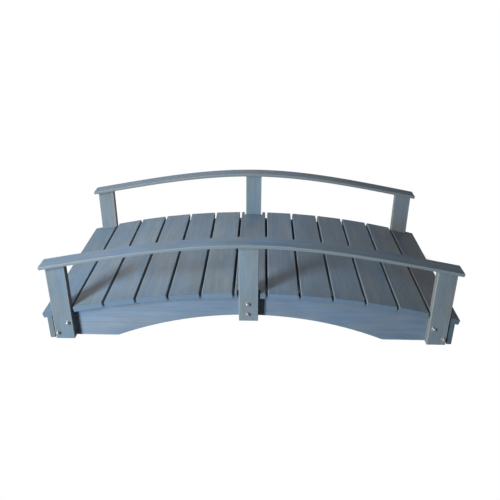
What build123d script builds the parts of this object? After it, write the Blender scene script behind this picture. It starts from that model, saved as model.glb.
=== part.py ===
"""A small wooden moon bridge for a garden: planks on two arched stringers, closed by a board at
each end, with a bent lath for a handrail on either side.

Sizes are in millimetres. X runs along the bridge, Y across it and Z up from the ground, with the
origin on the ground under the middle. The front is the side at -Y.
"""

import os
from math import cos, degrees, sin, tan

from build123d import *

# Deck: planks laid side by side round an arc, each square to it.
plank_count = 13
plank_width = 108.0
plank_gap = 9.4
plank_thickness = 20.0
plank_overhang = 22.0
plank_edge_radius = 3.0
deck_radius = 2950.0
deck_top = 200.0

# Stringers: the two arched side boards that carry the planks.
stringer_face = 348.0
stringer_thickness = 28.0
arch_radius = 1264.0
arch_height = 98.0

# End boards: they close the deck's ends, down to the ground.
end_board_thickness = 18.0
end_board_setback = 16.5

# Posts: bolted to the outer faces of the stringers.
post_width = 69.0
post_thickness = 27.0
post_edge = 1.5
end_post_gap = 4.5
middle_post_bottom = 90.0
front_middle_post_shift = -5.0

# Notches in the planks, where the posts stand.
end_notch_clearance = 3.0
middle_notch_clearance = 6.5
notch_depth_clearance = 5.0

# Rails: laths held up by the middle posts and pulled down onto the end posts.
rail_width = 66.0
rail_thickness = 11.5
rail_edge_radius = 2.0
rail_seat = 388.0
rail_drop = 87.0
rail_overhang = 47.5

# Places that follow from the sizes above.
plank_length = 2 * (stringer_face + plank_overhang)
deck_centre = deck_top - deck_radius
plank_pitch = (plank_width + plank_gap) / deck_radius
end_plank_angle = (plank_count - 1) / 2 * plank_pitch
seat_radius = deck_radius - plank_thickness
deck_end = deck_radius * sin(end_plank_angle) + plank_width / 2 * cos(end_plank_angle)
end_board_outer = deck_end - end_board_setback
end_board_inner = end_board_outer - end_board_thickness
end_post_x = end_board_inner - end_post_gap - post_width / 2
post_y = stringer_face + post_thickness / 2
rail_slope = 1.5 * rail_drop / end_post_x


def plank_angle(index):
    """The angle of a plank from the crown of the deck, in radians."""
    return (index - (plank_count - 1) / 2) * plank_pitch


def arc_point(angle, radius):
    """A point in the X-Z plane on an arc about the deck's centre."""
    return (radius * sin(angle), 0, deck_centre + radius * cos(angle))


def end_plank_underside(x):
    """The height of the end plank's underside, which the end board is bevelled to meet."""
    return deck_centre + seat_radius / cos(end_plank_angle) - x * tan(end_plank_angle)


def post_places():
    """Each post's name, X, side of the bridge, foot height and notch clearance."""
    places = []
    for side_name, side in (("front", -1), ("back", 1)):
        shift = front_middle_post_shift if side < 0 else 0.0
        places.append((f"post_{side_name}_left", -end_post_x, side, 0.0, end_notch_clearance))
        places.append((f"post_{side_name}_middle", shift, side, middle_post_bottom, middle_notch_clearance))
        places.append((f"post_{side_name}_right", end_post_x, side, 0.0, end_notch_clearance))
    return places


def notch(x, side, clearance):
    """The space that a post takes out of the planks' ends."""
    block = Box(
        post_width + 2 * clearance,
        plank_length,
        2 * deck_top,
        align=(Align.CENTER, Align.MIN if side > 0 else Align.MAX, Align.MIN),
    )
    return Pos(x, side * (stringer_face - notch_depth_clearance), 0) * block


def plank(index):
    """One plank with eased long edges, laid on the arc and notched where a post stands."""
    board = Box(
        plank_width,
        plank_length,
        plank_thickness,
        align=(Align.CENTER, Align.CENTER, Align.MAX),
    )
    board = fillet(board.edges().filter_by(Axis.Y), plank_edge_radius)
    tilt = Rot(0, degrees(plank_angle(index)), 0)
    board = Pos(0, 0, deck_centre) * tilt * Pos(0, 0, deck_radius) * board
    for _, x, side, _, clearance in post_places():
        board -= notch(x, side, clearance)
    return board


def stringer(side):
    """A side board with flat seats for the planks above and an arch sawn out below."""
    corner_radius = seat_radius / cos(plank_pitch / 2)
    corners = [arc_point(plank_angle(i - 0.5), corner_radius) for i in range(plank_count + 1)]
    right, left = corners[-1][0], corners[0][0]
    outline = make_face(Polyline(*corners, (right, 0, 0), (left, 0, 0), close=True))
    board = extrude(outline, stringer_thickness, dir=(0, 1, 0))
    board = board & Box(2 * end_board_inner, 2 * stringer_thickness, 2 * deck_top)
    arch = Rot(90, 0, 0) * Cylinder(arch_radius, 4 * stringer_thickness)
    board -= Pos(0, 0, arch_height - arch_radius) * arch
    front = Pos(0, -stringer_face, 0) * board
    return front if side < 0 else mirror(front, about=Plane.XZ)


def end_board(side):
    """The upright board under an end plank, bevelled along its top."""
    outline = make_face(
        Polyline(
            (end_board_inner, 0, 0),
            (end_board_outer, 0, 0),
            (end_board_outer, 0, end_plank_underside(end_board_outer)),
            (end_board_inner, 0, end_plank_underside(end_board_inner)),
            close=True,
        )
    )
    right = extrude(outline, plank_length / 2, dir=(0, 1, 0), both=True)
    return right if side > 0 else mirror(right, about=Plane.YZ)


def rail_underside():
    """The underside line of a lath, left to right.

    Each half is bent like a cantilever held at the middle post, which is a cubic, so one Bezier
    curve follows it exactly. Past the end posts the lath runs on straight.
    """
    third = end_post_x / 3
    half_drop = rail_seat - rail_drop / 2
    full_drop = rail_seat - rail_drop
    tip_x = end_post_x + rail_overhang
    tip_z = full_drop - rail_slope * rail_overhang
    crown = (0, 0, rail_seat)
    left_seat, right_seat = (-end_post_x, 0, full_drop), (end_post_x, 0, full_drop)
    return Wire(
        [
            Line((-tip_x, 0, tip_z), left_seat),
            Bezier(left_seat, (-2 * third, 0, half_drop), (-third, 0, rail_seat), crown),
            Bezier(crown, (third, 0, rail_seat), (2 * third, 0, half_drop), right_seat),
            Line(right_seat, (tip_x, 0, tip_z)),
        ]
    )


def rail(side):
    """A lath with eased edges, its section swept along its underside line."""
    path = rail_underside()
    start = Plane(path @ 0, x_dir=(0, 1, 0), z_dir=path % 0)
    section = Pos(0, rail_thickness / 2) * RectangleRounded(rail_width, rail_thickness, rail_edge_radius)
    return Pos(0, side * post_y, 0) * sweep(start * section, path=path)


def post(x, side, foot):
    """A post with eased upright edges, its top cut to the underside of the rail."""
    block = Box(
        post_width,
        post_thickness,
        rail_seat - foot,
        align=(Align.CENTER, Align.CENTER, Align.MIN),
    )
    block = Pos(x, 0, foot) * chamfer(block.edges().filter_by(Axis.Z), post_edge)
    underside = rail_underside()
    left, right = underside @ 0, underside @ 1
    lid = Polyline(left, (left.X, 0, 2 * rail_seat), (right.X, 0, 2 * rail_seat), right)
    above = extrude(make_face([*underside.edges(), lid]), post_thickness, dir=(0, 1, 0), both=True)
    return Pos(0, side * post_y, 0) * (block - above)


parts = {}
for index in range(plank_count):
    parts[f"plank_{index + 1:02d}"] = plank(index)
for side_name, side in (("front", -1), ("back", 1)):
    parts[f"stringer_{side_name}"] = stringer(side)
    parts[f"rail_{side_name}"] = rail(side)
for end_name, side in (("left", -1), ("right", 1)):
    parts[f"end_board_{end_name}"] = end_board(side)
for name, x, side, foot, _ in post_places():
    parts[name] = post(x, side, foot)

os.makedirs("parts", exist_ok=True)
for name, solid in parts.items():
    export_step(solid, f"parts/{name}.step")
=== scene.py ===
# %% [markdown]
# # A small moon bridge in stained softwood
#
# The bridge stands on the floor as a frame of solid boards: thirteen planks on two arched
# side boards, two end boards, six posts and two bent laths for rails. Their shapes are loaded
# and never changed here. This lesson gives them their finish, a thin blue-grey stain through
# which the grain still shows, and adds the bolts that hold the posts. Before that it sets up
# the camera, the floor and the lamps.
#
# All lengths are in metres. X runs along the bridge, Y goes away from the viewer and Z up.

# %% Load the frame
import math
import random
from dataclasses import dataclass

import bmesh
import bpy
from mathutils import Matrix, Vector


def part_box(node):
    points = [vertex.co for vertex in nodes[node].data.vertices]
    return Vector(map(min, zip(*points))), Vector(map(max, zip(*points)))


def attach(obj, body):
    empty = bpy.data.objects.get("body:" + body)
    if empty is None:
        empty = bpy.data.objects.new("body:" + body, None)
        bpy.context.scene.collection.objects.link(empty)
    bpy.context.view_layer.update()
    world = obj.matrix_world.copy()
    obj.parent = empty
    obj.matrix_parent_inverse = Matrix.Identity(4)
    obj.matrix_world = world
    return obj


MM = 0.001
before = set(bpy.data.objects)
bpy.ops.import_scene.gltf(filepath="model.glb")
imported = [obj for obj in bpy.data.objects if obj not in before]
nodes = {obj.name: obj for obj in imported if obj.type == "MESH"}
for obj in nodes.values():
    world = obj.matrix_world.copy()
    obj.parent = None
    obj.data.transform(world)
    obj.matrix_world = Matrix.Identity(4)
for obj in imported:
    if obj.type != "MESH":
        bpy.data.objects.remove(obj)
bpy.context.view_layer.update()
scene = bpy.context.scene
scene.view_settings.view_transform = "Standard"
print("boards:", len(nodes))

# %% [markdown]
# ## The camera
#
# The photograph looks down on the bridge from the front, a little over two metres away. The
# camera's place, turn and lens were worked out from where the corners of the boards fall in
# the picture. It starts out looking straight down. A turn about X tips it up towards the
# horizon, one about Z swings it sideways, and a last small one about its own line of sight
# levels the picture. The lens and the sensor are the only lengths in millimetres.

# %% Camera
CAMERA_PLACE = (0.0335, -2.0971, 1.2322)
CAMERA_SWING = math.radians(1.145)
CAMERA_TIP = math.radians(63.503)
CAMERA_ROLL = math.radians(0.362)
CAMERA_LENS = 41.17
CAMERA_SENSOR = 36.0

camera_data = bpy.data.cameras.new("camera")
camera_data.sensor_width = CAMERA_SENSOR
camera_data.lens = CAMERA_LENS
camera = bpy.data.objects.new("camera", camera_data)
scene.collection.objects.link(camera)
camera.matrix_world = (
    Matrix.Translation(CAMERA_PLACE)
    @ Matrix.Rotation(CAMERA_SWING, 4, "Z")
    @ Matrix.Rotation(CAMERA_TIP, 4, "X")
    @ Matrix.Rotation(CAMERA_ROLL, 4, "Z")
)
scene.camera = camera
print("camera:", CAMERA_LENS, "mm lens at", CAMERA_PLACE)

# %% [markdown]
# ## Shader maths as Python
#
# A material is a graph of nodes, and a long sum drawn as nodes is hard to read. Value wraps
# one output socket, so that an expression such as 1 - mask adds its own Math node. Shader
# wraps a whole graph. Its method node adds any other kind of node from its type, its
# settings, and the values or links of its inputs.


# %% Shader helpers
class Value:
    """A number, colour or vector that varies over a surface: an output of a shader node."""

    def __init__(self, shader, socket):
        self.shader = shader
        self.socket = socket

    def math(self, operation, first, second=0.0):
        """A Math node on two values or numbers, of which some operations read only the first."""
        return self.shader.node("ShaderNodeMath", {"operation": operation}, {0: first, 1: second})

    def __add__(self, other):
        return self.math("ADD", self, other)

    def __sub__(self, other):
        return self.math("SUBTRACT", self, other)

    def __rsub__(self, other):
        return self.math("SUBTRACT", other, self)

    def __mul__(self, other):
        return self.math("MULTIPLY", self, other)

    def __truediv__(self, other):
        return self.math("DIVIDE", self, other)

    def __pow__(self, other):
        return self.math("POWER", self, other)

    def __abs__(self):
        return self.math("ABSOLUTE", self)

    __radd__ = __add__
    __rmul__ = __mul__

    def fraction(self):
        """What is left after the whole number is taken away."""
        return self.math("FRACT", self)

    def above(self, other):
        """The larger of the two."""
        return self.math("MAXIMUM", self, other)

    def rise(self, low, high):
        """0 below low, 1 above high, and a smooth step between."""
        settings = {"interpolation_type": "SMOOTHSTEP"}
        inputs = {"Value": self, "From Min": low, "From Max": high}
        return self.shader.node("ShaderNodeMapRange", settings, inputs)


class Shader:
    """The node graph of a material or a world."""

    def __init__(self, owner):
        owner.use_nodes = True
        self.owner = owner
        self.tree = owner.node_tree
        self.tree.nodes.clear()

    def node(self, kind, settings=None, inputs=None, output=0):
        """Adds a node, and returns one of its outputs, or None where it has none."""
        node = self.tree.nodes.new(kind)
        for name, setting in (settings or {}).items():
            setattr(node, name, setting)
        for name, value in (inputs or {}).items():
            if isinstance(value, Value):
                self.tree.links.new(value.socket, node.inputs[name])
            else:
                node.inputs[name].default_value = value
        return Value(self, node.outputs[output]) if node.outputs else None

    def parts(self, vector):
        """The three numbers of a vector."""
        first = self.node("ShaderNodeSeparateXYZ", None, {0: vector})
        return [Value(self, output) for output in first.socket.node.outputs]

    def complete(self, kind, surface):
        """Ends the graph with its output node, and returns the material or world."""
        self.node(kind, None, {"Surface": surface})
        return self.owner

    def mix(self, factor, first, second, blend="MIX"):
        """One colour laid over another."""
        settings = {"data_type": "RGBA", "blend_type": blend}
        return self.node("ShaderNodeMix", settings, {0: factor, 6: first, 7: second}, 2)

    def noise(self, vector, stretch, detail=2.0, roughness=0.5):
        """Noise from 0 to 1 whose cells per metre along X, Y and Z are given by stretch."""
        settings = {"operation": "MULTIPLY"}
        vector = self.node("ShaderNodeVectorMath", settings, {0: vector, 1: stretch})
        inputs = {"Vector": vector, "Scale": 1.0, "Detail": detail, "Roughness": roughness}
        return self.node("ShaderNodeTexNoise", None, inputs)


def grey(level):
    """A colour without a hue, from 0 for black to 1 for white."""
    return (level, level, level, 1.0)


def seen_directly(shader):
    """1 for rays from the camera and for those that a mirror or glass sends on, else 0."""
    seen = shader.node("ShaderNodeLightPath", output="Is Camera Ray")
    outputs = seen.socket.node.outputs
    for name in ("Is Glossy Ray", "Is Transmission Ray"):
        seen = seen.above(Value(shader, outputs[name]))
    return seen


# %% [markdown]
# ## The floor
#
# The bridge stands on a plain white floor that fills the picture. Rays from the camera see
# white paper. In an oval under the deck it keeps the bridge's shadow, and the paper itself is
# painted darker towards the oval's middle, a painted shade that shows through the gaps between
# the planks. Past the oval's fading rim it is an even white. Distances in the oval are shares
# of its half sizes, with 1 on its rim. All other rays meet a dark floor, so that little light
# comes back up and the gaps stay dark, as they do in the photograph.

# %% Floor
FLOOR_SIZE = 80.0
OVAL_CENTRE = (0.0, 0.25)
OVAL_HALF = (0.72, 0.36)
SHADE_TO_PAPER = (0.55, 0.95)
PAPER_TO_WHITE = (1.0, 1.2)
PAPER = 0.95
PAINTED_DEEP_SHADE = 0.12
DARK_FLOOR = 0.2

floor_mesh = bpy.data.meshes.new("floor")
floor_form = bmesh.new()
bmesh.ops.create_grid(floor_form, x_segments=1, y_segments=1, size=FLOOR_SIZE / 2)
floor_form.to_mesh(floor_mesh)
floor_form.free()
floor = bpy.data.objects.new("floor", floor_mesh)
scene.collection.objects.link(floor)

shader = Shader(bpy.data.materials.new("floor_paper"))
x, y, _ = shader.parts(shader.node("ShaderNodeTexCoord", output="Object"))
beside = (x - OVAL_CENTRE[0]) / OVAL_HALF[0]
beyond = (y - OVAL_CENTRE[1]) / OVAL_HALF[1]
distance = (beside * beside + beyond * beyond) ** 0.5
# Painted shade: the paper is darker towards the oval's middle, besides the shadow the lamps cast.
paper = shader.mix(distance.rise(*SHADE_TO_PAPER), grey(PAINTED_DEEP_SHADE), grey(PAPER))
paper = shader.node("ShaderNodeBsdfDiffuse", None, {"Color": paper})
white = shader.node("ShaderNodeEmission", None, {"Color": grey(1.0), "Strength": 1.0})
past_rim = distance.rise(*PAPER_TO_WHITE)
seen = shader.node("ShaderNodeMixShader", None, {0: past_rim, 1: paper, 2: white})
dark = shader.node("ShaderNodeBsdfDiffuse", None, {"Color": grey(DARK_FLOOR)})
surface = shader.node("ShaderNodeMixShader", None, {0: seen_directly(shader), 1: dark, 2: seen})
floor_mesh.materials.append(shader.complete("ShaderNodeOutputMaterial", surface))
print("floor:", FLOOR_SIZE, "m")

# %% [markdown]
# ## The lamps
#
# The photograph has one tall soft box at the front left, low enough to send the posts'
# shadows far across the deck, and a wide soft light over the left end. Both are area lamps,
# which fade with distance, so the right end gets darker as it does in the photograph. The
# tall one points at the left half and its light is kept in a cone by its spread, which makes
# the right end darker still. A weak lamp low behind the bridge lights the sides that the
# photograph doesn't show. It is kept out of reflections, where it would run as a glint along
# the deck. A faint even light from the world fills the deepest shadows.

# %% Lamps
BRIDGE_MIDDLE = Vector((0.0, 0.0, 0.15))
OPEN_SPREAD = math.radians(180)
KEY_DISTANCE = 4.5
KEY_AZIMUTH = math.radians(42.5)
KEY_ELEVATION = math.radians(16.0)
KEY_SIZE = (1.0, 3.0)
KEY_AIM = (-0.5, 0.0, 0.15)
KEY_SPREAD = math.radians(110)
KEY_POWER = 137.0
KEY_TINT = (0.89, 1.0, 1.06)
TOP_PLACE = (-0.8, 0.3, 1.35)
TOP_SIZE = (2.0, 1.2)
TOP_POWER = 10.4
TOP_TINT = (1.17, 0.99, 0.86)
BACK_PLACE = (0.0, 3.2, 0.45)
BACK_SIZE = (2.4, 0.6)
BACK_POWER = 26.0
BACK_TINT = (1.0, 1.0, 1.0)
WORLD_LIGHT = 0.02


def area_lamp(name, place, aim, size, spread, power, tint):
    """A soft box at place that faces aim."""
    data = bpy.data.lights.new(name, "AREA")
    data.shape = "RECTANGLE"
    data.size, data.size_y = size
    data.spread = spread
    data.energy = power
    data.color = tint
    lamp = bpy.data.objects.new(name, data)
    lamp.location = place
    lamp.rotation_euler = (Vector(aim) - Vector(place)).to_track_quat("-Z", "Y").to_euler()
    scene.collection.objects.link(lamp)
    return lamp


key_way = Vector((-math.sin(KEY_AZIMUTH), -math.cos(KEY_AZIMUTH), math.tan(KEY_ELEVATION)))
key_place = BRIDGE_MIDDLE + key_way.normalized() * KEY_DISTANCE
area_lamp("key", key_place, KEY_AIM, KEY_SIZE, KEY_SPREAD, KEY_POWER, KEY_TINT)
area_lamp("top", TOP_PLACE, BRIDGE_MIDDLE, TOP_SIZE, OPEN_SPREAD, TOP_POWER, TOP_TINT)
back = area_lamp("back", BACK_PLACE, BRIDGE_MIDDLE, BACK_SIZE, OPEN_SPREAD, BACK_POWER, BACK_TINT)
back.visible_glossy = False

scene.world = bpy.data.worlds.new("world")
shader = Shader(scene.world)
faint = shader.node("ShaderNodeBackground", None, {"Color": grey(1.0), "Strength": WORLD_LIGHT})
white = shader.node("ShaderNodeBackground", None, {"Color": grey(1.0), "Strength": 1.0})
surface = shader.node("ShaderNodeMixShader", None, {0: seen_directly(shader), 1: faint, 2: white})
shader.complete("ShaderNodeOutputWorld", surface)
print("lamps: key, top and back")

# %% [markdown]
# ## A board's own directions
#
# Every board is cut from a log, so its grain is a solid pattern that runs through the whole
# board. It has to follow the board, which lies along, across or upright in the bridge. A
# Mapping node turns Object coordinates into the board's own, with X along the grain, Y
# across its width and Z through its thickness, and zero at its middle. The same coordinates
# tell the material where the board's long edges and its sawn ends are. Each board is cut from
# its own place in a very long log, so no two show the same grain.

# %% Board coordinates
LOG_LENGTH = 50.0
RIM = 0.5 * MM


class Board(Shader):
    """A board's material, which knows the board's own directions and half its sizes."""

    def __init__(self, name, centre, turn, halves):
        super().__init__(bpy.data.materials.new(name + "_wood"))
        place = self.node("ShaderNodeTexCoord", output="Object")
        inputs = {"Vector": place, "Location": centre, "Rotation": turn}
        own = self.node("ShaderNodeMapping", {"vector_type": "TEXTURE"}, inputs)
        self.along, self.across, self.through = self.parts(own)
        self.name = name
        self.halves = halves
        self.start = random.uniform(0.0, LOG_LENGTH)

    def grain(self, lengthways, crossways, detail=2.0, roughness=0.5):
        """Noise drawn out along the grain, by its cells per metre each way."""
        inputs = {0: self.along + self.start, 1: self.across, 2: self.through}
        vector = self.node("ShaderNodeCombineXYZ", None, inputs)
        return self.noise(vector, (lengthways, crossways, crossways), detail, roughness)

    def pattern(self, cells, levels, **noise):
        """Grain noise spread out, so that its two levels become 0 and 1."""
        return self.grain(*cells, **noise).rise(*levels)

    def near_side(self, width):
        """1 on the board's two narrow faces, falling to 0 at width from them."""
        half_width = self.halves[1]
        return abs(self.across).rise(half_width - width, half_width - RIM)

    def near_edge(self, share):
        """1 on the board's long edges, falling to 0 at a share of its half thickness from them."""
        half_thickness = self.halves[2]
        width = share * half_thickness
        near_face = abs(self.through).rise(half_thickness - width, half_thickness - RIM)
        return self.near_side(width) * near_face

    def near_end(self, depth):
        """1 on the sawn ends and a third of depth from them, falling to 0 at depth."""
        half_length = self.halves[0]
        return abs(self.along).rise(half_length - depth, half_length - depth / 3)


# %% [markdown]
# ## The grain
#
# The year rings are cylinders about the log's pith, which lies some centimetres under the
# board and leans a little, so a flat face shows long flames, an edge straight lines and a
# sawn end arcs. A slow noise added to the distance to the pith bends the rings, and a
# quicker one makes some of them wider than others. The sum is divided by the width of a
# ring, and what is left of the division runs from 0 in the early wood to 1 in the late wood.
# Late wood comes on slowly through a ring and ends at once where the next year's early wood
# starts.

# %% Grain
RING_WIDTH = 4.4 * MM
LATE_WOOD_COMES = (0.3, 0.88)
LATE_WOOD_ENDS = (0.9, 1.0)
PITH_ASIDE = 0.7
PITH_DEPTH = (30 * MM, 80 * MM)
LEAN = 0.022
SWAY = 22 * MM
SWAY_CELLS = (1.3, 9.0)
UNEVEN = 9 * MM
UNEVEN_CELLS = (0.9, 45.0)


def year_rings(board):
    """0 in the early wood of each ring, rising to 1 in its late wood."""
    pith_across = random.uniform(-PITH_ASIDE, PITH_ASIDE) * board.halves[1]
    pith_depth = random.uniform(*PITH_DEPTH)
    lean_across = random.uniform(-LEAN, LEAN)
    lean_through = random.uniform(-LEAN, LEAN)
    off_across = board.across + board.along * lean_across - pith_across
    off_through = board.through + board.along * lean_through + pith_depth
    distance = (off_across * off_across + off_through * off_through) ** 0.5
    sway = (board.grain(*SWAY_CELLS) - 0.5) * SWAY
    uneven = (board.grain(*UNEVEN_CELLS) - 0.5) * UNEVEN
    ring = ((distance + sway + uneven) / RING_WIDTH).fraction()
    return ring.rise(*LATE_WOOD_COMES) * (1.0 - ring.rise(*LATE_WOOD_ENDS))


# %% [markdown]
# ## What boards of one kind share
#
# The boards of one kind were stained in one go, and what they share is kept in a Finish: the
# stain's colour, how strongly the grain shows through it, and tints that multiply the stain
# in places. The narrow faces of posts and rails are sanded. Sawn ends drink the most stain
# and turn a deep blue, apart from those of the thin rails, where the sanded end shows paler
# wood. Along the side boards and rails a painted shade makes the colour deeper and less blue
# towards the right end.

# %% Finish
UNCHANGED = (1.0, 1.0, 1.0)
SAWN = (0.67, 0.75, 0.83)
END_DEPTH = 1.5 * MM


@dataclass
class Finish:
    """How one kind of board is stained. Sides and sawn tint its stain; the last is painted shade.
    """

    stain: tuple
    figure: float
    sides: tuple = UNCHANGED
    sawn: tuple = SAWN
    end_depth: float = END_DEPTH
    right_end_shade: tuple = None


# %% [markdown]
# ## The grain under the stain
#
# The stain is thin. Soft early wood drinks more of it and turns a deeper blue, and the hard
# late wood stays paler and greyer. One flat colour would look like paint, and a picture of
# wood would repeat from board to board, so the tone is a sum of three patterns: the year
# rings, which show only in places, soft streaks, and fine fibres. It picks a colour between a
# deep and a pale tint of the stain. Each pattern is noise drawn out along the grain, with its
# cells per metre along and across it.

# %% Tone
DEEP = (0.8, 0.86, 0.94)
PALE = (1.22, 1.14, 1.06)
RINGS_SHOW = {"cells": (1.1, 14.0), "levels": (0.35, 0.7)}
STREAKS = {"cells": (2.6, 40.0), "levels": (0.3, 0.7), "detail": 5.0, "roughness": 0.75}
FIBRES = {"cells": (22.0, 900.0), "levels": (0.3, 0.7), "roughness": 0.6}
RING_SHARE = 0.25
STREAK_SHARE = 0.6
FIBRE_SHARE = 0.15
FIGURE_MIDDLE = 0.4
TONE_MIDDLE = 0.45


def tinted(stain, tint):
    """The stain with each of its parts multiplied by its own number."""
    return tuple(part * change for part, change in zip(stain, tint)) + (1.0,)


def grain_paint(board, finish, stain, rings, streaks, fibres):
    """The stain as the wood takes it, from deep to pale."""
    shown_rings = rings * board.pattern(**RINGS_SHOW)
    figure = shown_rings * RING_SHARE + streaks * STREAK_SHARE + fibres * FIBRE_SHARE
    tone = (figure - FIGURE_MIDDLE) * finish.figure + TONE_MIDDLE
    return board.mix(tone, tinted(stain, DEEP), tinted(stain, PALE))


# %% [markdown]
# ## Wiped on by hand
#
# The stain was wiped on with a cloth, so it lies in slow patches and quicker wipes, some a
# little deeper, and in places it is a little warmer or cooler. Both multiply the colour, which
# keeps the grain in it. So does a painted shade that deepens the colour towards the right end
# of a long board.

# %% Patches
WARM = (1.07, 1.0, 0.93, 1.0)
COOL = (0.93, 1.0, 1.07, 1.0)
PATCHES = {"cells": (2.5, 9.0), "levels": (0.25, 0.75)}
WIPES = {"cells": (11.0, 30.0), "levels": (0.25, 0.75), "detail": 3.0}
CASTS = {"cells": (4.5, 13.0), "levels": (0.3, 0.7), "detail": 3.0}
DEEPEST_PATCH = 0.87
PATCH_LIFT = 0.12
WIPE_LIFT = 0.14


def wiped_and_shaded_paint(board, finish, paint, wipes):
    """The paint in patches, deeper or paler, warmer or cooler, with painted shade on the right."""
    shade = board.pattern(**PATCHES) * PATCH_LIFT + wipes * WIPE_LIFT + DEEPEST_PATCH
    shade = board.node("ShaderNodeCombineColor", None, {0: shade, 1: shade, 2: shade})
    paint = board.mix(1.0, paint, shade, "MULTIPLY")
    cast = board.mix(board.pattern(**CASTS), COOL, WARM)
    paint = board.mix(1.0, paint, cast, "MULTIPLY")
    # Painted shade: the colour deepens and loses blue towards the board's right end.
    if finish.right_end_shade is None:
        return paint
    shade_towards_right = board.along.rise(0.0, board.halves[0])
    return board.mix(shade_towards_right, paint, finish.right_end_shade, "MULTIPLY")


# %% [markdown]
# ## Wear, painted highlight and sawn ends
#
# A few pale lines show where the stain took badly, and the long edges are paler, unevenly:
# partly worn, and partly a painted highlight where the rounded edges catch the light. Each of
# these, and the other tint of a narrow face or a sawn end, is laid over the colour by a mask,
# which comes from the grain or from the board's own coordinates.

# %% Wear
WORN_AND_HIGHLIGHT = (1.6, 1.48, 1.34)
PALE_LINES = {"cells": (1.8, 130.0), "levels": (0.62, 0.72), "detail": 1.0}
WEAR_AND_HIGHLIGHT = {"cells": (5.0, 60.0), "levels": (0.25, 0.55), "detail": 3.0}
EDGE_WEAR_AND_HIGHLIGHT = 0.4
SIDE_DEPTH = 1.2 * MM
PALE_LINE_STRENGTH = 0.3
WEAR_AND_HIGHLIGHT_STRENGTH = 0.7
SAWN_STRENGTH = 0.85


def worn_and_highlit_paint(board, finish, stain, paint):
    """The paint with pale lines, narrow faces, paler edges (wear, painted highlight) and sawn ends.
    """
    pale_lines = board.pattern(**PALE_LINES) * PALE_LINE_STRENGTH * finish.figure
    paint = board.mix(pale_lines, paint, tinted(stain, WORN_AND_HIGHLIGHT))
    paint = board.mix(board.near_side(SIDE_DEPTH), paint, tinted(stain, finish.sides))
    # Paler long edges: partly wear, partly a painted highlight.
    wear_and_highlight = board.near_edge(EDGE_WEAR_AND_HIGHLIGHT) * board.pattern(**WEAR_AND_HIGHLIGHT) * WEAR_AND_HIGHLIGHT_STRENGTH
    worn_and_lit_side = [worn * side for worn, side in zip(WORN_AND_HIGHLIGHT, finish.sides)]
    paint = board.mix(wear_and_highlight, paint, tinted(stain, worn_and_lit_side))
    ends = board.near_end(finish.end_depth) * SAWN_STRENGTH
    return board.mix(ends, paint, tinted(stain, finish.sawn))


# %% [markdown]
# ## Relief and gloss
#
# The hard wood and the fibres stand up a little. That is far less than a millimetre, so a
# Bump node shows it without a single face more. What stands up is rubbed smoother, and the
# paler wipes, where less stain stayed, are a little rougher.

# %% Stained wood
SPECULAR = 0.2
ROUGHNESS = 0.68
RING_GLOSS = 0.06
STREAK_GLOSS = 0.08
WIPE_ROUGHNESS = 0.06
RING_RELIEF = 0.5
FIBRE_RELIEF = 0.5
STREAK_RELIEF = 0.3
BUMP_STRENGTH = 0.6
BUMP_HEIGHT = 0.35 * MM


def stained_wood(board, finish, stain):
    """The whole material of a board, from its kind's finish and its own stain."""
    rings = year_rings(board)
    streaks = board.pattern(**STREAKS)
    fibres = board.pattern(**FIBRES)
    wipes = board.pattern(**WIPES)
    paint = grain_paint(board, finish, stain, rings, streaks, fibres)
    paint = wiped_and_shaded_paint(board, finish, paint, wipes)
    paint = worn_and_highlit_paint(board, finish, stain, paint)
    relief = rings * RING_RELIEF + fibres * FIBRE_RELIEF + streaks * STREAK_RELIEF
    bump = {"Strength": BUMP_STRENGTH, "Distance": BUMP_HEIGHT, "Height": relief}
    roughness = ROUGHNESS - rings * RING_GLOSS - streaks * STREAK_GLOSS + wipes * WIPE_ROUGHNESS
    inputs = {
        "Base Color": paint,
        "Roughness": roughness,
        "Specular IOR Level": SPECULAR,
        "Normal": board.node("ShaderNodeBump", None, bump),
    }
    surface = board.node("ShaderNodeBsdfPrincipled", None, inputs)
    return board.complete("ShaderNodeOutputMaterial", surface)


# %% [markdown]
# ## A finish for each board
#
# Each board gets a material of its own, because its grain starts elsewhere in the log and its
# stain is a little lighter or darker than its neighbour's. Most differ by chance, and those
# that stand out in the photograph have a tint of their own. On the end boards and the last
# plank that tint is painted light and shade: the left end board is made lighter, and the right
# end board and plank_13 darker, as the light falls off towards the right. The draws start from
# a fixed seed, so every run makes the same boards. A board's directions come from how the
# bridge is built, and its place and sizes from the frame.

# %% Dress a board
BOARD_SEED = 7
TONE_RANGE = (0.97, 1.03)
# Painted light on end_board_left, painted shade on end_board_right and plank_13; the rest are
# tints.
BOARD_TINTS_AND_PAINTED_LIGHT = {
    "plank_01": (0.86, 0.91, 0.94),
    "plank_06": (1.14, 1.12, 1.08),
    "plank_07": (0.93, 0.95, 0.97),
    "plank_08": (1.08, 1.09, 1.11),
    "plank_12": (1.02, 0.95, 0.88),
    "plank_13": (0.7, 0.62, 0.58),
    "post_front_left": (0.83, 0.87, 0.92),
    "post_front_middle": (1.05, 1.06, 1.06),
    "post_front_right": (1.06, 1.0, 0.95),
    "post_back_left": (0.99, 0.92, 0.87),
    "post_back_middle": (0.94, 1.03, 1.11),
    "post_back_right": (1.06, 1.0, 0.98),
    "end_board_left": (1.2, 1.12, 1.07),
    "end_board_right": (0.74, 0.82, 0.88),
    "rail_front": (1.04, 1.04, 1.04),
    "rail_back": (0.98, 0.94, 0.89),
}
RIGHT = Vector((1, 0, 0))
BACK = Vector((0, 1, 0))
UP = Vector((0, 0, 1))

random.seed(BOARD_SEED)


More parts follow.
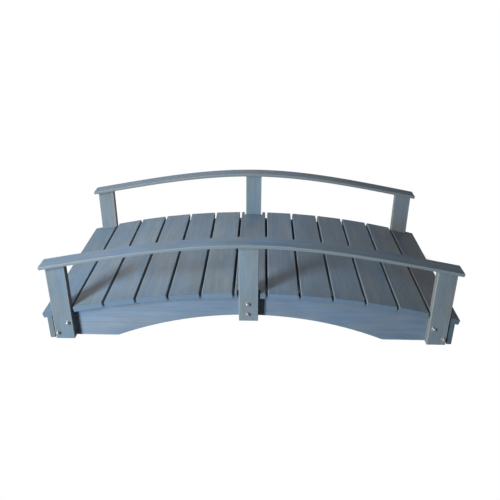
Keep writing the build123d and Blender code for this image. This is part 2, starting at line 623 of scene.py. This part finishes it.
def board_for(name, grain, face, centre=None, halves=None):
    """A board's material, from its grain's direction and the direction its face looks."""
    low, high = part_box(name)
    turn = Matrix((grain, face.cross(grain), face)).transposed()
    if centre is None:
        centre = (low + high) / 2
    if halves is None:
        own_size = turn.transposed() @ (high - low)
        halves = [abs(part) / 2 for part in own_size]
    return Board(name, centre, turn.to_euler(), halves)


def dress(board, finish):
    """Stains a board and puts its material on the node."""
    tone = random.uniform(*TONE_RANGE)
    tint_and_painted_light = BOARD_TINTS_AND_PAINTED_LIGHT.get(board.name, UNCHANGED)
    stain = [part * tint * tone for part, tint in zip(finish.stain, tint_and_painted_light)]
    material = stained_wood(board, finish, stain)
    for material_slot in nodes[board.name].material_slots:
        material_slot.material = material


# %% [markdown]
# The planks lie across the bridge, each turned to the curve of the deck. A turned plank's box
# is wider and higher than the plank, so the width and thickness are read from plank_07, which
# lies level on the crown. How far out and how far down the last plank's middle lies gives the
# radius of the curve, by the formula for the height of an arc.

# %% Deck planks
PLANK_FINISH = Finish(stain=(0.16, 0.213, 0.272), figure=0.75)

crown_low, crown_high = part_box("plank_07")
last_low, last_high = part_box("plank_13")
plank_width, _, plank_thickness = crown_high - crown_low
far_out = (last_low.x + last_high.x) / 2
far_down = (crown_low.z + crown_high.z - last_low.z - last_high.z) / 2
deck_radius = (far_out * far_out + far_down * far_down) / (2 * far_down)

plank_names = sorted(name for name in nodes if name.startswith("plank"))
for name in plank_names:
    low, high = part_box(name)
    angle = math.asin((low.x + high.x) / 2 / deck_radius)
    face = Vector((math.sin(angle), 0.0, math.cos(angle)))
    halves = (high.y, plank_width / 2, plank_thickness / 2)
    dress(board_for(name, BACK, face, halves=halves), PLANK_FINISH)
print("planks:", len(plank_names), "on a radius of", round(deck_radius, 4), "m")

# %% [markdown]
# The rails are laths. Each is held at its middle and pulled down onto the end posts, which
# bends its halves to a cubic, and it runs on straight past the posts. Its grain bends with
# it, so what it has fallen is added back to its own upward coordinate. The sizes come from
# the frame again. The posts are cut to the rail's underside, so the middle post gives the
# height there at the crown, and the inner edge of an end post gives a second point.


# %% Rails
def bend(share):
    """The part of its fall that a lath has made at a share of its reach."""
    return share * share * (3.0 - share) / 2


rail_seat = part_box("post_back_middle")[1].z
post_low, post_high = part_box("post_front_right")
rail_reach = (post_low.x + post_high.x) / 2
rail_fall = (rail_seat - post_high.z) / bend(post_low.x / rail_reach)
rail_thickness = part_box("rail_back")[1].z - rail_seat


def lath_for(name):
    """The material of a rail, with its coordinates made straight."""
    low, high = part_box(name)
    centre = Vector((0.0, (low.y + high.y) / 2, high.z - rail_thickness / 2))
    halves = (high.x, (high.y - low.y) / 2, rail_thickness / 2)
    lath = board_for(name, RIGHT, UP, centre, halves)
    lath.through = lath.through + bend(abs(lath.along) / rail_reach) * rail_fall
    return lath


print("rails:", round(rail_thickness, 4), "m thick, falling by", round(rail_fall, 4), "m")

# %% [markdown]
# The side boards run along the bridge as the rails do, the posts stand up, and the end boards
# lie across. The posts' stain is thinner than the deck's and shows little grain. The rails
# took the bluest stain.

# %% Side boards, rails, posts and end boards
# The side boards and rails carry painted shade towards their right ends.
SIDE_FINISH = Finish(stain=(0.148, 0.195, 0.258), figure=0.95, right_end_shade=(0.96, 0.9, 0.85, 1.0))
POST_FINISH = Finish(stain=(0.159, 0.193, 0.222), figure=0.6, sides=(1.12, 1.02, 0.95))
END_FINISH = Finish(stain=(0.138, 0.163, 0.18), figure=1.0)
RAIL_FINISH = Finish(
    stain=(0.146, 0.21, 0.29),
    figure=0.9,
    sides=(1.12, 0.93, 0.74),
    sawn=(1.4, 1.12, 0.85),
    end_depth=4.5 * MM,
    right_end_shade=(0.62, 0.61, 0.57, 1.0),
)

for side in ("front", "back"):
    dress(board_for("stringer_" + side, RIGHT, -BACK), SIDE_FINISH)
    dress(lath_for("rail_" + side), RAIL_FINISH)
    for place in ("left", "middle", "right"):
        dress(board_for(f"post_{side}_{place}", UP, -BACK), POST_FINISH)
for end in ("left", "right"):
    dress(board_for("end_board_" + end, BACK, RIGHT), END_FINISH)
print("boards with a finish:", len(nodes))

# %% [markdown]
# ## The bolts
#
# Each post is held to its side board by two bolts with domed heads. On a middle post they sit
# one above the other. On an end post the lower one is towards the end of the bridge and the
# upper one towards its middle. A pure metal would only mirror the floor and the lamps, but
# their zinc has a thin chalky skin, so it is only partly a metal here: the light from the
# front left still glints on it, and the far side falls into shade. A slow cloud changes its
# colour and gloss, and fine specks roughen it.

# %% Zinc
ZINC_DARK = (0.18, 0.18, 0.185, 1.0)
ZINC_PALE = (0.34, 0.34, 0.35, 1.0)
ZINC_METAL = 0.45
ZINC_ROUGHNESS = 0.16
CLOUD_ROUGHNESS = 0.16
CLOUD_CELLS = 260.0
CLOUD_DETAIL = 3.0
CLOUD_LEVELS = (0.3, 0.7)
SPECK_CELLS = 1500.0
SPECK_STRENGTH = 0.3
SPECK_HEIGHT = 0.05 * MM

shader = Shader(bpy.data.materials.new("zinc"))
place = shader.node("ShaderNodeTexCoord", output="Object")
cloud = shader.noise(place, (CLOUD_CELLS,) * 3, CLOUD_DETAIL)
speck = shader.noise(place, (SPECK_CELLS,) * 3)
bump = {"Strength": SPECK_STRENGTH, "Distance": SPECK_HEIGHT, "Height": speck}
inputs = {
    "Base Color": shader.mix(cloud.rise(*CLOUD_LEVELS), ZINC_DARK, ZINC_PALE),
    "Metallic": ZINC_METAL,
    "Roughness": ZINC_ROUGHNESS + cloud * CLOUD_ROUGHNESS,
    "Normal": shader.node("ShaderNodeBump", None, bump),
}
surface = shader.node("ShaderNodeBsdfPrincipled", None, inputs)
zinc = shader.complete("ShaderNodeOutputMaterial", surface)
print("bolts' finish:", zinc.name)

# %% [markdown]
# A domed head is a curve turned about the bolt's own line, so its outline is drawn once, with
# the rim of the thin washer under it, and spun round. At the inner end the bolt comes out
# through a washer and a six-sided nut. Each of these is a short cylinder, which is a cone
# whose two ends are equally wide, with its rims bevelled so that they catch the light.

# %% Parts of a bolt
HEAD_RADIUS = 6.3 * MM
HEAD_SIDE = 3.2 * MM
HEAD_DOME = 5.4 * MM
WASHER_RADIUS = 8.2 * MM
WASHER_HEIGHT = 1.4 * MM
WASHER_EDGE = 0.4 * MM
DOME_STEPS = 8
SPIN_STEPS = 28
RIM_STEPS = 2


def spin_outline(form, outline):
    """Spins points, given as distance from the Z axis and height, into a closed shape."""
    points = [form.verts.new((radius, 0.0, height)) for radius, height in outline]
    edges = [form.edges.new(pair) for pair in zip(points, points[1:])]
    about = {"cent": (0, 0, 0), "axis": (0, 0, 1), "angle": 2 * math.pi, "steps": SPIN_STEPS}
    bmesh.ops.spin(form, geom=points + edges, use_merge=True, **about)


def domed_head(form):
    """A tall domed head on a thin washer that sits on Z = 0."""
    quarter = [math.pi / 2 * step / DOME_STEPS for step in range(DOME_STEPS + 1)]
    dome_foot = WASHER_HEIGHT + HEAD_SIDE
    outline = [
        (HEAD_RADIUS * math.sin(turn), dome_foot + HEAD_DOME * math.cos(turn))
        for turn in quarter
    ]
    outline.append((HEAD_RADIUS, WASHER_HEIGHT))
    outline.append((WASHER_RADIUS - WASHER_EDGE, WASHER_HEIGHT))
    outline.append((WASHER_RADIUS, WASHER_HEIGHT - WASHER_EDGE))
    outline.append((WASHER_RADIUS, 0.0))
    outline.append((0.0, 0.0))
    spin_outline(form, outline)


def disc(form, radius, height, top, sides, soften):
    """A short cylinder below top on the Z axis, with its rims bevelled."""
    place = Matrix.Translation((0, 0, top - height / 2))
    ends = {"radius1": radius, "radius2": radius, "depth": height, "cap_ends": True}
    made = bmesh.ops.create_cone(form, segments=sides, matrix=place, **ends)
    corners = set(made["verts"])
    own_edges = [edge for edge in form.edges if corners.issuperset(edge.verts)]
    rims = [edge for edge in own_edges if abs(edge.verts[0].co.z - edge.verts[1].co.z) < height / 2]
    settings = {"affect": "EDGES", "segments": RIM_STEPS, "profile": 0.5, "material": -1}
    bmesh.ops.bevel(form, geom=rims, offset=soften, **settings)


# %% [markdown]
# Each bolt is made standing on Z = 0 and then turned to look out from its post's face and
# moved there, in its mesh, so that its object stays at the origin. Its place on the post is
# given as a step along the bridge, outwards on an end post and to the right on a middle one,
# and a height. The nut sits on the side board's inner face, and the frame says how far behind
# the head that is.

# %% Bolts
NUT_RADIUS = 6.4 * MM
NUT_HEIGHT = 5.0 * MM
NUT_SIDES = 6
THREAD_RADIUS = 3.0 * MM
THREAD_END = 4.0 * MM
THREAD_SIDES = 16
WASHER_SOFT = 0.3 * MM
NUT_SOFT = 0.5 * MM
SAME_PLACE = 0.001 * MM
SHARP = math.radians(35)
END_BOLTS = {"upper": (-17 * MM, 68.5 * MM), "lower": (23.5 * MM, 25 * MM)}
MIDDLE_BOLTS = {"upper": (-3 * MM, 160.5 * MM), "lower": (-3 * MM, 119.5 * MM)}


def make_bolt(name, place, outward, grip):
    """A bolt whose head sits at place and whose nut is grip behind it."""
    form = bmesh.new()
    domed_head(form)
    nut_top = -grip - WASHER_HEIGHT
    disc(form, WASHER_RADIUS, WASHER_HEIGHT, -grip, SPIN_STEPS, WASHER_SOFT)
    disc(form, NUT_RADIUS, NUT_HEIGHT, nut_top, NUT_SIDES, NUT_SOFT)
    disc(form, THREAD_RADIUS, THREAD_END, nut_top - NUT_HEIGHT, THREAD_SIDES, NUT_SOFT)
    bmesh.ops.remove_doubles(form, verts=form.verts, dist=SAME_PLACE)
    turn = outward.to_track_quat("Z", "X").to_matrix().to_4x4()
    bmesh.ops.transform(form, matrix=Matrix.Translation(place) @ turn, verts=form.verts)
    bmesh.ops.recalc_face_normals(form, faces=form.faces)
    for face in form.faces:
        face.smooth = True
    mesh = bpy.data.meshes.new(name)
    form.to_mesh(mesh)
    form.free()
    mesh.set_sharp_from_angle(angle=SHARP)
    mesh.materials.append(zinc)
    piece = bpy.data.objects.new(name, mesh)
    scene.collection.objects.link(piece)
    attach(piece, "root")
    return piece


bolts = []
for side, outward in (("front", -BACK), ("back", BACK)):
    low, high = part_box("stringer_" + side)
    inner_face = min(abs(low.y), abs(high.y))
    for post, end_way in (("left", -1), ("middle", 1), ("right", 1)):
        low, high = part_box(f"post_{side}_{post}")
        outer_face = max(abs(low.y), abs(high.y))
        places = MIDDLE_BOLTS if post == "middle" else END_BOLTS
        for level, (shift, z) in places.items():
            place = outward * outer_face + UP * z
            place.x = (low.x + high.x) / 2 + end_way * shift
            name = f"bolt_{side}_{post}_{level}"
            bolts.append(make_bolt(name, place, outward, outer_face - inner_face))
print("bolts:", len(bolts))
